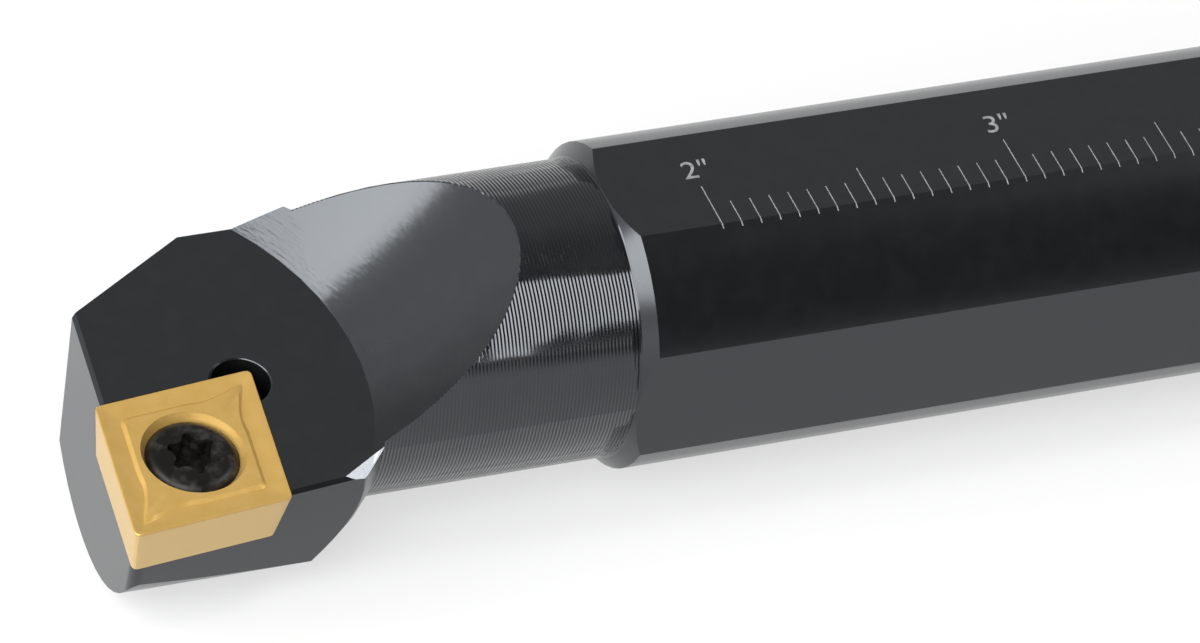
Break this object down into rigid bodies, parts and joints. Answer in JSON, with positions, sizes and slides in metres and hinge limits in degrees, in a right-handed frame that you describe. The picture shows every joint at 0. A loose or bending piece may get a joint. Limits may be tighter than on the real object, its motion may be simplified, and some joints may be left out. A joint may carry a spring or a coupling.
{
  "type": "boring bar",
  "caption": "Indexable boring bar: round steel shank with clamping flats and an engraved inch scale, turned neck, and an offset head with a screwed rhombic insert.",
  "frame": {"origin": "centre of the tail face, on the bar axis", "axes": "+X along the bar towards the cutting end, +Y towards the side that carries the cutting corner, +Z out of the flat that carries the scale"},
  "size_m": [0.3048, 0.028, 0.0258],
  "materials": {
    "black_oxide_steel": "black oxide over turned and milled steel",
    "coated_carbide": "golden nitride coating, satin",
    "screw_steel": "dark oxide, worn on the head"
  },
  "bodies": {
    "root": {"bar": "black_oxide_steel", "insert": "coated_carbide", "insert_screw": "screw_steel"}
  },
  "joints": []
}
